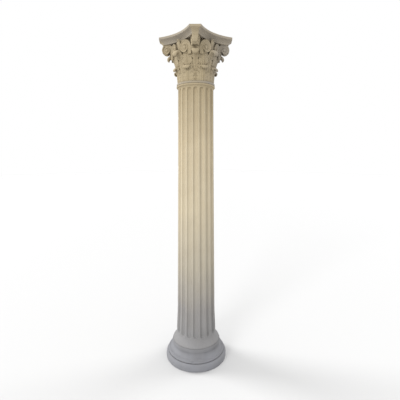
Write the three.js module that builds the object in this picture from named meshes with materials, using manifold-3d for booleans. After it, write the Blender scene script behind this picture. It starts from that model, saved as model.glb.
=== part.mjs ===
// A free-standing fluted column with a Corinthian capital, in three stones: a round moulded base,
// a fluted shaft and a carved capital. Its volutes and its abacus are solids of their own.
// Millimetres, +Z up, origin at the middle of the underside.
// The sides of the abacus lie along X and Y, so its horns point along the diagonals.
import * as THREE from "three";
import { mergeVertices } from "three/addons/utils/BufferGeometryUtils.js";
import Module from "manifold-3d";

// The heights of the three stones.
const BASE_HEIGHT = 186;
const SHAFT_HEIGHT = 2406;
const CAPITAL_HEIGHT = 408;

// The base: the radius and height of each moulding, from the ground up.
const LOWER_TORUS_RADIUS = 296;
const LOWER_TORUS_HEIGHT = 71;
const LOWER_TORUS_TUCK = 5;
const BEAD_RADIUS = 276;
const BEAD_HEIGHT = 21;
const LIP_RADIUS = 269;
const LIP_HEIGHT = 7;
const SCOTIA_RADIUS = 229;
const UPPER_TORUS_RADIUS = 235;
const UPPER_TORUS_HEIGHT = 44;
const UPPER_TORUS_TUCK = 8;

// The shaft: its radius where the swelling of the foot begins, and under the astragal.
const SHAFT_LOW_RADIUS = 181;
const SHAFT_TOP_RADIUS = 159.5;
const ENTASIS = 1.25;
const FOOT_SWELL = 9;
const FOOT_SWELL_HEIGHT = 260;
const CINCTURE_RADIUS = 227;
const CINCTURE_HEIGHT = 9;
const APOPHYGE_HEIGHT = 67;
const APOPHYGE_CURVE = 1.8;
const NECK_HEIGHT = 8;
const ASTRAGAL_RADIUS = 173;
const ASTRAGAL_HEIGHT = 17;

// The flutes: a fillet of stone is left between two of them, and both ends are round.
const FLUTES = 18;
const FLUTE_SHARE = 0.72;
const FLUTE_DEPTH = 16;
const FLUTE_END_GAP = 5;

// The capital: the ring that it starts with, and the bell behind the leaves.
const RING_RADIUS = 171;
const RING_HEIGHT = 18;
const BELL_LOW_RADIUS = 150;
const BELL_LIP_RADIUS = 188;
const BELL_CURVE = 1.7;

// The abacus: from the centre to a horn's face, the face's width, and how far a side curves in.
const HORN_REACH = 321;
const HORN_WIDTH = 95;
const ABACUS_HOLLOW = 44;
const ABACUS_HEIGHT = 57;
const ABACUS_FILLET = 22;
const ABACUS_UNDERCUT = 28;
const ABACUS_FOOT = CAPITAL_HEIGHT - ABACUS_HEIGHT;

// The leaves. Each rises to a fold at its top, stands out by its reach and drops to its tip;
// tip is the tip's share of the width, and standOff and lean hold the leaf off the bell.
const LEAVES_IN_A_ROW = 8;
const LEAF_THICKNESS = 16;
const LEAF_LOBE = 0.82;
const LOWER_LEAF = {
  rows: 7, top: 134, drop: 22, reach: 202, width: 122, tip: 0.38, swell: 1, standOff: 4, lean: 6,
};
const UPPER_LEAF = {
  rows: 7, top: 248, drop: 32, reach: 243, width: 104, tip: 0.5, swell: 1.6, standOff: -1, lean: 14,
};
const STEM_LEAF = {
  rows: 3, top: 240, drop: 4, reach: 206, width: 96, tip: 0.75, swell: 1, standOff: 6, lean: 22,
};
const FACE_LEAF_GAP = 7;
const FACE_LEAF = {
  rows: 3, top: ABACUS_FOOT - FACE_LEAF_GAP, drop: 5, reach: 214, width: 40, tip: 0.8, swell: 1,
  standOff: 6, lean: 18,
};

// The scrolls: the volutes under the horns and the helices beside them.
const SCROLL_TURNS = 1.6;
const SCROLL_RIDGE = 7;
const SCROLL_BAND = 13;
const SCROLL_STEPS = 10;
// Their eyes hang below the abacus, and foot is the height among the leaves where a stalk begins.
const VOLUTE = { start: 62, outer: 52, eye: 12, thickness: 36, spread: 0.22, foot: 241 };
const VOLUTE_CENTRE_RADIUS = 256;
const VOLUTE_BELOW_ABACUS = 44;
const HELIX = { start: 62, outer: 56, eye: 12, thickness: 52, spread: 0, foot: 238 };
const HELIX_FACE_RADIUS = 212;
const HELIX_BELOW_ABACUS = 63;
const HELIX_FROM_HORN = 26;

const HOLLOW_STEPS = 6;
const ROUND_SIDES = 40;
const BELL_SIDES = 24;
const UP = new THREE.Vector3(0, 0, 1);

const wasm = await Module();
wasm.setup();

const degrees = THREE.MathUtils.degToRad;
const mix = THREE.MathUtils.lerp;

function at(radius, angle, height) {
  return new THREE.Vector3(radius * Math.cos(angle), radius * Math.sin(angle), height);
}

// A closed solid from rings of points that all have the same count, capped at both ends.
function loft(rings) {
  const count = rings[0].length;
  const points = rings.flat();
  const faces = [];
  for (let r = 0; r + 1 < rings.length; r++) {
    for (let i = 0; i < count; i++) {
      const a = r * count + i;
      const b = r * count + ((i + 1) % count);
      faces.push(a, b, b + count, a, b + count, a + count);
    }
  }
  const cap = (ring, first, upward) => {
    const middle = ring.reduce((sum, p) => sum.add(p), new THREE.Vector3());
    points.push(middle.divideScalar(count));
    for (let i = 0; i < count; i++) {
      const next = first + ((i + 1) % count);
      const edge = upward ? [first + i, next] : [next, first + i];
      faces.push(...edge, points.length - 1);
    }
  };
  cap(rings[0], 0, false);
  cap(rings.at(-1), (rings.length - 1) * count, true);
  const geometry = new THREE.BufferGeometry().setFromPoints(points);
  geometry.setIndex(faces);
  return geometry;
}

// A turned solid: the profile's points are (radius, height), from the axis back to the axis.
function turned(profile, sides) {
  const points = profile.map(([radius, height]) => new THREE.Vector2(radius, height));
  return new THREE.LatheGeometry(points, sides).rotateX(Math.PI / 2);
}

function welded(geometry) {
  const bare = new THREE.BufferGeometry();
  bare.setAttribute("position", geometry.getAttribute("position").clone());
  if (geometry.index) bare.setIndex(geometry.index.clone());
  return mergeVertices(bare, 1e-3);
}

function solid(geometry) {
  const closed = welded(geometry);
  const vertProperties = closed.getAttribute("position").array;
  const triVerts = new Uint32Array(closed.index.array);
  return new wasm.Manifold(new wasm.Mesh({ numProp: 3, vertProperties, triVerts }));
}

function joined(geometries) {
  return geometries.map(solid).reduce((sum, next) => sum.add(next));
}

function surface(whole) {
  const mesh = whole.getMesh();
  const geometry = new THREE.BufferGeometry();
  geometry.setAttribute("position", new THREE.BufferAttribute(mesh.vertProperties, 3));
  geometry.setIndex(new THREE.BufferAttribute(mesh.triVerts, 1));
  return geometry;
}

// Puts a shape drawn in X and Y, and raised along Z, upright: X runs along, Z faces out.
function upright(geometry, origin, along, facing) {
  const matrix = new THREE.Matrix4().makeBasis(along, UP, facing).setPosition(origin);
  const placed = welded(geometry).applyMatrix4(matrix);
  if (matrix.determinant() < 0) {
    const index = placed.index.array;
    for (let i = 0; i < index.length; i += 3) {
      [index[i + 1], index[i + 2]] = [index[i + 2], index[i + 1]];
    }
  }
  return placed;
}

// The base: lower torus, bead, lip, scotia and upper torus.
function baseProfile() {
  const beadFoot = LOWER_TORUS_HEIGHT;
  const lipFoot = beadFoot + BEAD_HEIGHT;
  const scotiaFoot = lipFoot + LIP_HEIGHT;
  const torusFoot = BASE_HEIGHT - UPPER_TORUS_HEIGHT;
  const middle = LOWER_TORUS_HEIGHT * 0.45;
  const profile = [
    [0, 0],
    [LOWER_TORUS_RADIUS - LOWER_TORUS_TUCK, 0],
  ];
  for (const turn of [0, 30, 60, 90]) {
    const out = (LOWER_TORUS_RADIUS - BEAD_RADIUS) * Math.cos(degrees(turn));
    const up = (beadFoot - middle) * Math.sin(degrees(turn));
    profile.push([BEAD_RADIUS + out, middle + up]);
  }
  profile.push([BEAD_RADIUS, lipFoot], [LIP_RADIUS, lipFoot], [LIP_RADIUS, scotiaFoot]);
  for (const turn of [22, 45, 67, 90]) {
    const out = (LIP_RADIUS - SCOTIA_RADIUS) * (1 - Math.sin(degrees(turn)));
    const up = (torusFoot - scotiaFoot) * (1 - Math.cos(degrees(turn)));
    profile.push([SCOTIA_RADIUS + out, scotiaFoot + up]);
  }
  for (const turn of [-55, 0, 55, 90]) {
    const out = UPPER_TORUS_TUCK * Math.cos(degrees(turn));
    const up = (UPPER_TORUS_HEIGHT / 2) * Math.sin(degrees(turn));
    const torusMiddle = torusFoot + UPPER_TORUS_HEIGHT / 2;
    profile.push([UPPER_TORUS_RADIUS - UPPER_TORUS_TUCK + out, torusMiddle + up]);
  }
  profile.push([0, BASE_HEIGHT]);
  return profile;
}

// Heights on the shaft are measured from its own bed.
const FLARE_TOP = CINCTURE_HEIGHT + APOPHYGE_HEIGHT;
const ASTRAGAL_FOOT = SHAFT_HEIGHT - ASTRAGAL_HEIGHT;
const SHAFT_NECK = ASTRAGAL_FOOT - NECK_HEIGHT;
const FLUTE_FOOT = FLARE_TOP + FLUTE_END_GAP;
const FLUTE_HEAD = SHAFT_NECK - FLUTE_END_GAP;

function shaftRadius(height) {
  const swellTop = FLARE_TOP + FOOT_SWELL_HEIGHT;
  const fall = THREE.MathUtils.clamp((SHAFT_NECK - height) / (SHAFT_NECK - swellTop), 0, 1);
  const swell = THREE.MathUtils.smoothstep(swellTop - height, 0, FOOT_SWELL_HEIGHT);
  return mix(SHAFT_TOP_RADIUS, SHAFT_LOW_RADIUS, fall ** ENTASIS) + FOOT_SWELL * swell;
}

// How wide a flute is at this height, from 0 at its tip to 1 where it is full.
function fluteOpening(height, radius) {
  const halfWidth = (Math.PI * radius * FLUTE_SHARE) / FLUTES;
  const fromEnd = Math.min(height - FLUTE_FOOT, FLUTE_HEAD - height);
  const short = THREE.MathUtils.clamp(1 - fromEnd / halfWidth, 0, 1);
  return Math.sqrt(1 - short * short);
}

// One ring of the shaft: each flute has its two edges and two points in its hollow.
function shaftRing(height, radius) {
  const opening = fluteOpening(height, radius);
  const pitch = (2 * Math.PI) / FLUTES;
  const ring = [];
  for (let flute = 0; flute < FLUTES; flute++) {
    for (const across of [-1, -0.5, 0.5, 1]) {
      const angle = degrees(45) + pitch * (flute + (across * FLUTE_SHARE) / 2);
      const hollow = Math.max(0, opening * opening - across * across);
      ring.push(at(radius - FLUTE_DEPTH * hollow, angle, height));
    }
  }
  return ring;
}

function shaft() {
  const rings = [shaftRing(0, CINCTURE_RADIUS), shaftRing(CINCTURE_HEIGHT, CINCTURE_RADIUS)];
  const flareFoot = CINCTURE_RADIUS - shaftRadius(FLARE_TOP);
  for (const share of [0.75, 0.3]) {
    const height = FLARE_TOP - APOPHYGE_HEIGHT * share;
    rings.push(shaftRing(height, shaftRadius(height) + flareFoot * share ** APOPHYGE_CURVE));
  }
  const endLength = (Math.PI * SHAFT_LOW_RADIUS * FLUTE_SHARE) / FLUTES;
  const heights = [FLUTE_FOOT, FLUTE_FOOT + 0.3 * endLength, FLUTE_FOOT + endLength];
  const swellTop = FLARE_TOP + FOOT_SWELL_HEIGHT;
  heights.push(swellTop);
  for (const share of [0.33, 0.67]) heights.push(mix(swellTop, SHAFT_NECK, share));
  heights.push(FLUTE_HEAD - endLength, FLUTE_HEAD - 0.3 * endLength, FLUTE_HEAD, SHAFT_NECK);
  for (const height of heights) rings.push(shaftRing(height, shaftRadius(height)));
  for (const turn of [-60, 0, 60]) {
    const radius = ASTRAGAL_RADIUS - (ASTRAGAL_HEIGHT / 2) * (1 - Math.cos(degrees(turn)));
    const height = ASTRAGAL_FOOT + (ASTRAGAL_HEIGHT / 2) * (1 + Math.sin(degrees(turn)));
    rings.push(shaftRing(height, radius));
  }
  rings.push(shaftRing(SHAFT_HEIGHT, ASTRAGAL_RADIUS - ASTRAGAL_HEIGHT / 2));
  return loft(rings);
}

// Heights on the capital are measured from its own bed.
function bellRadius(height) {
  const share = THREE.MathUtils.clamp(height / ABACUS_FOOT, 0, 1);
  return mix(BELL_LOW_RADIUS, BELL_LIP_RADIUS, share ** BELL_CURVE);
}

function bell() {
  const profile = [
    [0, 0],
    [RING_RADIUS, 0],
    [RING_RADIUS, RING_HEIGHT],
  ];
  for (const share of [0.06, 0.4, 0.6, 0.8, 0.95, 1]) {
    const height = mix(0, ABACUS_FOOT, share);
    profile.push([bellRadius(height), height]);
  }
  profile.push([0, ABACUS_FOOT]);
  return turned(profile, BELL_SIDES);
}

// The outline of the abacus, drawn in by an inset: four hollow sides and four cut horns.
function abacusRing(inset, height) {
  const reach = HORN_REACH - inset;
  const edge = reach * Math.SQRT1_2;
  const chord = Math.SQRT1_2 * (HORN_REACH - HORN_WIDTH / 2);
  const sweep = 2 * Math.atan(ABACUS_HOLLOW / chord);
  const turning = degrees(45) + sweep;
  const horn = HORN_WIDTH / 2 - inset * Math.tan(turning / 2);
  const half = edge - horn * Math.SQRT1_2;
  const side = edge + horn * Math.SQRT1_2;
  const ring = [];
  for (let quarter = 0; quarter < 4; quarter++) {
    for (let i = 0; i <= HOLLOW_STEPS; i++) {
      const across = mix(-1, 1, i / HOLLOW_STEPS);
      const hollow = ABACUS_HOLLOW * (1 - across * across) * (half / chord);
      const point = new THREE.Vector3(side - hollow, half * across, height);
      ring.push(point.applyAxisAngle(UP, (quarter * Math.PI) / 2));
    }
  }
  return ring;
}

function abacus() {
  const filletFoot = CAPITAL_HEIGHT - ABACUS_FILLET;
  const rings = [];
  for (const share of [0, 0.4, 0.75, 1]) {
    const inset = ABACUS_UNDERCUT * Math.cos(degrees(90 * share));
    rings.push(abacusRing(inset + 4 * (1 - share ** 8), mix(ABACUS_FOOT, filletFoot, share)));
  }
  rings.push(abacusRing(0, CAPITAL_HEIGHT));
  return loft(rings);
}

// The line that a leaf follows, as (radius, height): up the bell, over, and down to its tip.
function leafLine({ top, drop, reach, standOff, lean }) {
  const foot = RING_HEIGHT * 0.6;
  const middle = mix(foot, top, 0.45);
  const shoulder = top - 1.2 * drop;
  const shoulderRadius = bellRadius(shoulder) + lean;
  const points = [
    new THREE.Vector2(bellRadius(foot) + standOff, foot),
    new THREE.Vector2(bellRadius(middle) + standOff + lean * 0.2, middle),
    new THREE.Vector2(shoulderRadius, shoulder),
    new THREE.Vector2(mix(shoulderRadius, reach, 0.45), top - 0.12 * drop),
    new THREE.Vector2(reach - 0.36 * drop, top),
    new THREE.Vector2(reach, top - 0.45 * drop),
    new THREE.Vector2(reach - 0.12 * drop, top - drop),
  ];
  return new THREE.SplineCurve(points);
}

// A leaf: its edge goes in and out in lobes, its middle stands proud, and it narrows to the tip.
function leaf(form, angle) {
  const line = leafLine(form);
  const outside = [];
  const inside = [];
  for (let row = 0; row <= form.rows; row++) {
    const along = row / form.rows;
    const point = line.getPointAt(along);
    const tangent = line.getTangentAt(along);
    const lobe = row % 2 ? 1 : LEAF_LOBE;
    const halfWidth = (form.width / 2) * lobe * mix(1, form.tip, along ** 3);
    const thickness = LEAF_THICKNESS * mix(1, form.swell, along);
    const side = (offset, across) =>
      across.map((share) => {
        const back = 7 * share * share * (1 - along);
        const normal = offset - (offset > 0 ? back : 0);
        const radius = point.x + tangent.y * normal;
        const height = point.y - tangent.x * normal;
        return at(radius, angle + (share * halfWidth) / point.x, height);
      });
    outside.push(side(thickness / 2, [-1, -0.4, 0.4, 1]));
    inside.push(side(-thickness / 2, [1, -1]));
  }
  return loft(outside.map((row, i) => [...row, ...inside[i]]));
}

// The edge of a scroll, drawn in X and Y round its eye: share 0 is the stalk, 1 the eye.
function scrollRadius(form, share) {
  const swelling = (form.start - form.outer) * (1 - share) ** 6;
  return mix(form.outer, form.eye, share) + swelling;
}

function scrollPoint(form, share, inward) {
  const turn = Math.PI - 2 * Math.PI * SCROLL_TURNS * share;
  const radius = scrollRadius(form, share) - inward;
  return new THREE.Vector2(radius * Math.cos(turn), radius * Math.sin(turn));
}

// A scroll, carved alike on both faces: its ridge winds in to the eye beside a hollow channel.
function scroll(form, origin, along, facing) {
  const turnSteps = SCROLL_STEPS;
  const steps = Math.round(SCROLL_TURNS * turnSteps);
  const points = [];
  const faces = [];
  for (const side of [1, -1]) {
    const first = points.length;
    const raise = (point, relief) => {
      const thickness = form.thickness / 2 + (form.outer - point.x) * form.spread;
      points.push(new THREE.Vector3(point.x, point.y, side * (thickness + relief)));
      return points.length - 1;
    };
    const face = (...corners) => faces.push(...(side > 0 ? corners : corners.reverse()));
    const ridge = [];
    const channel = [];
    for (let i = 0; i <= steps; i++) {
      const share = i / steps;
      const depth = SCROLL_RIDGE * mix(1, 0.4, share);
      ridge.push(raise(scrollPoint(form, share, 0), 0));
      channel.push(raise(scrollPoint(form, share, mix(SCROLL_BAND, 5, share)), -depth));
    }
    const eye = raise(new THREE.Vector2(0, 0), 0);
    const down = form.foot - origin.z;
    const stalk = [-1, -0.45].map((x) => raise(new THREE.Vector2(x * form.start, down), 0));
    for (let i = 0; i < steps; i++) {
      face(ridge[i], channel[i], channel[i + 1]);
      face(ridge[i], channel[i + 1], ridge[i + 1]);
    }
    for (let i = 0; i < steps - turnSteps; i++) {
      const next = i + turnSteps;
      face(channel[i], ridge[next], ridge[next + 1]);
      face(channel[i], ridge[next + 1], channel[i + 1]);
    }
    for (let i = steps - turnSteps; i < steps; i++) face(channel[i], eye, channel[i + 1]);
    face(channel[steps], eye, ridge[steps]);
    face(ridge[steps], eye, channel[steps - turnSteps]);
    face(stalk[0], channel[0], ridge[0]);
    face(stalk[0], ridge[turnSteps], channel[0]);
    face(stalk[0], stalk[1], ridge[turnSteps]);
    if (side < 0) {
      const outline = [stalk[0], ...ridge.slice(0, turnSteps + 1), stalk[1]];
      for (let i = 0; i < outline.length; i++) {
        const a = outline[i];
        const b = outline[(i + 1) % outline.length];
        faces.push(a, a - first, b - first, a, b - first, b);
      }
    }
  }
  const geometry = new THREE.BufferGeometry().setFromPoints(points);
  geometry.setIndex(faces);
  return upright(geometry, origin, along, facing);
}

// The two volutes under a horn are one wedge, narrow at the horn and wide at the bell.
function volutePair(angle) {
  const origin = at(VOLUTE_CENTRE_RADIUS, angle, ABACUS_FOOT - VOLUTE_BELOW_ABACUS);
  return scroll(VOLUTE, origin, at(1, angle, 0), at(1, angle - degrees(90), 0));
}

// A helix beside a horn curls towards the middle of the face; side is -1 or 1.
function helix(horn, side) {
  const angle = horn + side * degrees(HELIX_FROM_HORN);
  const eyeHeight = ABACUS_FOOT - HELIX_BELOW_ABACUS;
  const origin = at(HELIX_FACE_RADIUS - HELIX.thickness / 2, angle, eyeHeight);
  return scroll(HELIX, origin, at(1, angle + side * degrees(90), 0), at(1, angle, 0));
}

const HORNS = [45, 135, 225, 315].map(degrees);

// The bell with its leaves and inner scrolls.
function leavesOnBell() {
  const shapes = [bell()];
  const step = (2 * Math.PI) / LEAVES_IN_A_ROW;
  for (let i = 0; i < LEAVES_IN_A_ROW; i++) {
    const angle = degrees(45) + step * i;
    shapes.push(leaf(UPPER_LEAF, angle));
    shapes.push(leaf(LOWER_LEAF, angle + step / 2));
    shapes.push(leaf(STEM_LEAF, angle + step / 2));
  }
  for (const horn of HORNS) {
    shapes.push(helix(horn, -1), helix(horn, 1));
    shapes.push(leaf(FACE_LEAF, horn + degrees(45)));
  }
  return joined(shapes);
}

// All under the abacus is cut to its underside, and the leaves and the bell make room for the
// volutes that grow out of them.
const top = solid(abacus());
const volutes = HORNS.map((horn) => solid(volutePair(horn)).subtract(top));
const carving = volutes.reduce((rest, pair) => rest.subtract(pair), leavesOnBell().subtract(top));

// The finishes: cool grey stone below, warm cream in the shaft, ochre in the capital.
function stone(colour) {
  return new THREE.MeshStandardMaterial({ color: colour, roughness: 0.9, metalness: 0 });
}

function piece(name, geometry, colour, bed) {
  const mesh = new THREE.Mesh(geometry, stone(colour));
  mesh.name = name;
  mesh.position.z = bed;
  return mesh;
}

const column = new THREE.Group();
const capitalBed = BASE_HEIGHT + SHAFT_HEIGHT;
column.add(piece("base", turned(baseProfile(), ROUND_SIDES), 0x96969a, 0));
column.add(piece("shaft", shaft(), 0xc9bfa6, BASE_HEIGHT));
column.add(piece("capital", surface(carving), 0xb09c74, capitalBed));
volutes.forEach((pair, i) => {
  column.add(piece(`volutes_${i + 1}`, surface(pair), 0xb09c74, capitalBed));
});
column.add(piece("abacus", abacus(), 0xa39480, capitalBed));

export default column;
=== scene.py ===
# %% [markdown]
# # A fluted column with a carved capital
# The column is built of three stones: a round moulded base, a fluted shaft and a capital of
# leaves and scrolls under a hollow-sided slab, the abacus. This lesson dresses the plain solids
# of its CAD model. Each piece keeps the solid's sizes, and adds what a chisel and the weather
# leave behind: veins and lobes in the leaves, round bottoms in the flutes, chipped edges,
# grime in the hollows. Shade is also painted into the hollows and on the capital's shaded side.
# All lengths are in metres, with Z up and the origin under the column.

import math
from functools import partial

import bmesh
import bpy
import numpy as np
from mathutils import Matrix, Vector
from mathutils.bvhtree import BVHTree


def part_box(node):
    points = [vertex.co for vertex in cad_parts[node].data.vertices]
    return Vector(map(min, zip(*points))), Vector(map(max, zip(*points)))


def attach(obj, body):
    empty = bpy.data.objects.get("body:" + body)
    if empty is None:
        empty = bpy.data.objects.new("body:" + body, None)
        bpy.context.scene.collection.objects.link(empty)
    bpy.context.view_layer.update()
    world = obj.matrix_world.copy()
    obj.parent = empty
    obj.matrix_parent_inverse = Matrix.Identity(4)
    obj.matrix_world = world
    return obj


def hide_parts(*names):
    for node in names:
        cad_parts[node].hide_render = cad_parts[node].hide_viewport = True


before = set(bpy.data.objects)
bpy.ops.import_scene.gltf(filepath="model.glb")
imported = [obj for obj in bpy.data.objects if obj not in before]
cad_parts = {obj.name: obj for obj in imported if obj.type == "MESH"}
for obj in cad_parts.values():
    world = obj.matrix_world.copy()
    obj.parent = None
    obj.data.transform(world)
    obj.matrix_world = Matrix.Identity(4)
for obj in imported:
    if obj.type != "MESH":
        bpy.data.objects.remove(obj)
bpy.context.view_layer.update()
BASE_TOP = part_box("base")[1].z
SHAFT_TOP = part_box("shaft")[1].z
COLUMN_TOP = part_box("abacus")[1].z
print("base to", round(BASE_TOP, 3), "shaft to", round(SHAFT_TOP, 3), "top", round(COLUMN_TOP, 3))

# %% [markdown]
# ## The camera and the light
# The camera stands a little above mid-height and looks slightly down, at the corner where one
# horn of the capital points straight at the lens. The lens is wide, so the base is seen from
# above and the capital from just below. A white sky gives an even light. A soft key light from the
# left, a little behind the column, picks out one wall of each flute; a weaker one from the right
# throws the second shadow, and a fill from the front left keeps the face of the stone open. The
# pale floor throws light back up under the leaves.

# %% Camera, sky, sun and floor
VIEW_CORNER = math.radians(225)
CAMERA_DISTANCE = 2.8992
CAMERA_HEIGHT = 1.9344
CAMERA_ASIDE = 0.0384
CAMERA_TILT = math.radians(7.3162)
LENS = 27.747
SKY_STRENGTH = 1.0

towards = Vector((-math.cos(VIEW_CORNER), -math.sin(VIEW_CORNER), 0))
rightward = Vector((towards.y, -towards.x, 0))
scene = bpy.context.scene
camera = bpy.data.objects.new("camera", bpy.data.cameras.new("camera"))
scene.collection.objects.link(camera)
camera.data.sensor_width = 36
camera.data.lens = LENS
camera.location = -CAMERA_DISTANCE * towards + CAMERA_ASIDE * rightward
camera.location.z = CAMERA_HEIGHT
aim = towards * math.cos(CAMERA_TILT) - Vector((0, 0, math.sin(CAMERA_TILT)))
camera.rotation_euler = aim.to_track_quat("-Z", "Y").to_euler()
scene.camera = camera
scene.view_settings.view_transform = "Standard"

sky = bpy.data.worlds.new("white sky")
sky.use_nodes = True
sky.node_tree.nodes["Background"].inputs["Color"].default_value = (1, 1, 1, 1)
sky.node_tree.nodes["Background"].inputs["Strength"].default_value = SKY_STRENGTH
scene.world = sky


def add_sun(name, strength, softness, aside, behind, height):
    """A soft sun; aside is to the camera's right, behind is beyond the column."""
    sun = bpy.data.objects.new(name, bpy.data.lights.new(name, "SUN"))
    scene.collection.objects.link(sun)
    sun.data.energy = strength
    sun.data.angle = math.radians(softness)
    source = rightward * aside + towards * behind + Vector((0, 0, height))
    sun.rotation_euler = (-source).to_track_quat("-Z", "Y").to_euler()


add_sun("key from the left", 2.0, 24, aside=-0.83, behind=0.36, height=0.62)
add_sun("counter from the right", 1.1, 30, aside=0.84, behind=0.52, height=0.72)
add_sun("fill from the front left", 1.5, 24, aside=-0.52, behind=-0.82, height=0.34)

FLOOR_HALF, FLOOR_TONE, FLOOR_ROUGHNESS = 40, 0.56, 0.9
corners = [(-1, -1, 0), (1, -1, 0), (1, 1, 0), (-1, 1, 0)]
floor_mesh = bpy.data.meshes.new("floor")
floor_mesh.from_pydata([Vector(c) * FLOOR_HALF for c in corners], [], [(0, 1, 2, 3)])
floor = bpy.data.objects.new("floor", floor_mesh)
scene.collection.objects.link(floor)
pale = bpy.data.materials.new("pale floor")
pale.use_nodes = True
paint = pale.node_tree.nodes["Principled BSDF"].inputs
paint["Base Color"].default_value = (FLOOR_TONE, FLOOR_TONE, FLOOR_TONE, 1)
paint["Roughness"].default_value = FLOOR_ROUGHNESS
floor_mesh.materials.append(pale)
print("camera at", [round(c, 3) for c in camera.location])

# %% [markdown]
# ## Small helpers
# A grid of points with faces between its rows is the start of every piece here. The helpers
# below turn rows of points into a mesh, link the nodes of a tree in one line each, and settle
# a piece: Blender works out its Geometry Nodes, and the result becomes a plain mesh.

# %% Helpers for meshes
def grid_faces(rows, columns, around=False, first=0):
    """Quads between the points of a grid, whose columns may close in a ring."""
    row, column = np.meshgrid(
        np.arange(rows - 1), np.arange(columns if around else columns - 1), indexing="ij"
    )
    row, column = row.ravel(), column.ravel()
    beside = (column + 1) % columns
    low, high = first + row * columns, first + (row + 1) * columns
    return np.stack([low + column, low + beside, high + beside, high + column], 1).tolist()


def add_mark(mesh, name, values):
    """Stores a number for every point, which the materials read by its name."""
    mark = mesh.attributes.new(name, "FLOAT", "POINT")
    mark.data.foreach_set("value", np.asarray(values, np.float32))


def points_of(piece):
    points = np.empty(len(piece.data.vertices) * 3, np.float32)
    piece.data.vertices.foreach_get("co", points)
    return points.reshape(-1, 3)


def new_piece(name, points, faces, crease=38):
    """A smooth object from points and faces; edges sharper than the crease stay sharp."""
    mesh = bpy.data.meshes.new(name)
    mesh.from_pydata(np.asarray(points).tolist(), [], faces)
    mesh.shade_smooth()
    mesh.set_sharp_from_angle(angle=math.radians(crease))
    piece = bpy.data.objects.new(name, mesh)
    scene.collection.objects.link(piece)
    return piece


def stacked(rings):
    """Points and faces of a solid made of level rings, with a point in the middle of each end."""
    columns = len(rings[0])
    points = np.concatenate(rings + [[(0, 0, ring[0, 2])] for ring in (rings[0], rings[-1])])
    faces = grid_faces(len(rings), columns, around=True)
    foot, head = len(points) - 2, len(points) - 1
    last = foot - columns
    for i in range(columns):
        beside = (i + 1) % columns
        faces += [(foot, beside, i), (head, last + i, last + beside)]
    return points, faces


def turned(profile, angle):
    """A turned solid; the profile runs (radius, height) up its outside, at each angle."""
    return stacked([
        np.stack([r * np.cos(angle), r * np.sin(angle), np.full(len(angle), z)], 1)
        for r, z in profile
    ])


def circle(count):
    return np.linspace(0, math.tau, count, endpoint=False)


def smoothstep(low, high, value):
    share = np.clip((value - low) / (high - low), 0, 1)
    return share * share * (3 - 2 * share)


def mix(a, b, share):
    return a + (b - a) * share


# %% Helpers for node trees
def plug(tree, socket, value):
    """Gives a socket a link or a plain value."""
    if isinstance(value, bpy.types.NodeSocket):
        tree.links.new(value, socket)
    else:
        socket.default_value = value


def math_node(tree, operation, *values, clamp=False):
    node = tree.nodes.new("ShaderNodeMath")
    node.operation = operation
    node.use_clamp = clamp
    for socket, value in zip(node.inputs, values):
        plug(tree, socket, value)
    return node.outputs[0]


def add_node(tree, kind, **inputs):
    """A new node, with the inputs that are named here linked or set."""
    node = tree.nodes.new(kind)
    for name, value in inputs.items():
        plug(tree, node.inputs[name], value)
    return node


def new_tree(name, **sizes):
    """A Geometry Nodes tree with a named input for each size, and its two end nodes."""
    tree = bpy.data.node_groups.new(name, "GeometryNodeTree")
    face = tree.interface
    face.new_socket(name="Geometry", in_out="OUTPUT", socket_type="NodeSocketGeometry")
    face.new_socket(name="Geometry", in_out="INPUT", socket_type="NodeSocketGeometry")
    for label, size in sizes.items():
        kind = "NodeSocketInt" if isinstance(size, int) else "NodeSocketFloat"
        socket = face.new_socket(name=label, in_out="INPUT", socket_type=kind)
        socket.default_value = size
    face.new_socket(name="Finish", in_out="INPUT", socket_type="NodeSocketMaterial")
    entry, ending = tree.nodes.new("NodeGroupInput"), tree.nodes.new("NodeGroupOutput")
    return tree, entry, ending


def end_tree(tree, entry, ending, geometry):
    """Every tree ends alike: its copies are made real and get the finish."""
    real = add_node(tree, "GeometryNodeRealizeInstances", Geometry=geometry)
    paint = add_node(tree, "GeometryNodeSetMaterial", Geometry=real.outputs[0],
                     Material=entry.outputs["Finish"])
    tree.links.new(paint.outputs[0], ending.inputs[0])


def run_tree(piece, tree, **sizes):
    """Runs a tree on a piece and keeps the result as a plain mesh."""
    modifier = piece.modifiers.new(tree.name, "NODES")
    modifier.node_group = tree
    for item in tree.interface.items_tree:
        if item.in_out == "INPUT" and item.name in sizes:
            modifier[item.identifier] = sizes[item.name]
    settled = bpy.context.evaluated_depsgraph_get()
    mesh = bpy.data.meshes.new_from_object(piece.evaluated_get(settled), depsgraph=settled,
                                           preserve_all_data_layers=True)
    piece.modifiers.clear()
    plain = piece.data
    piece.data = mesh
    mesh.name = piece.name
    bpy.data.meshes.remove(plain)


# %% [markdown]
# ## The stone
# One kind of stone runs through the column, and age has coloured it: cool and grey at the foot,
# where damp rises, cream along the shaft and ochre in the capital. The colour follows the height
# on the object, so the three stones share one material recipe with their own tints. On top of it
# lie soft mottling, upright rain streaks and fine grain. Two marks on the mesh darken it: one is
# high where little sky is seen and paints shade and grime into the hollows; the other paints
# shade on the capital's side away from the key light, at its foot and on the abacus.

# %% Recipe for weathered stone
# A Mix node has its two colours and its result at these places among its sockets.
MIX_FIRST, MIX_SECOND, MIX_RESULT = 6, 7, 2
COLUMN_SPAN = 3.0
# The next colour darkens the hollows: painted shade together with grime.
SHADE_AND_GRIME = (0.16, 0.13, 0.09, 1)
CRUST = (0.72, 0.74, 0.80, 1)
PATCHES = (0.82, 0.78, 0.72, 1)
# The next colour is painted shade, for the capital's side away from the key light and the abacus.
SIDE_SHADE = (0.275, 0.247, 0.208, 1)


def noise_node(tree, vector, scale, detail, stretch=None):
    if stretch:
        vector = add_node(tree, "ShaderNodeMapping", Scale=stretch, Vector=vector).outputs[0]
    texture = add_node(tree, "ShaderNodeTexNoise", Scale=scale, Detail=detail, Vector=vector)
    return texture.outputs["Fac"]


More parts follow.
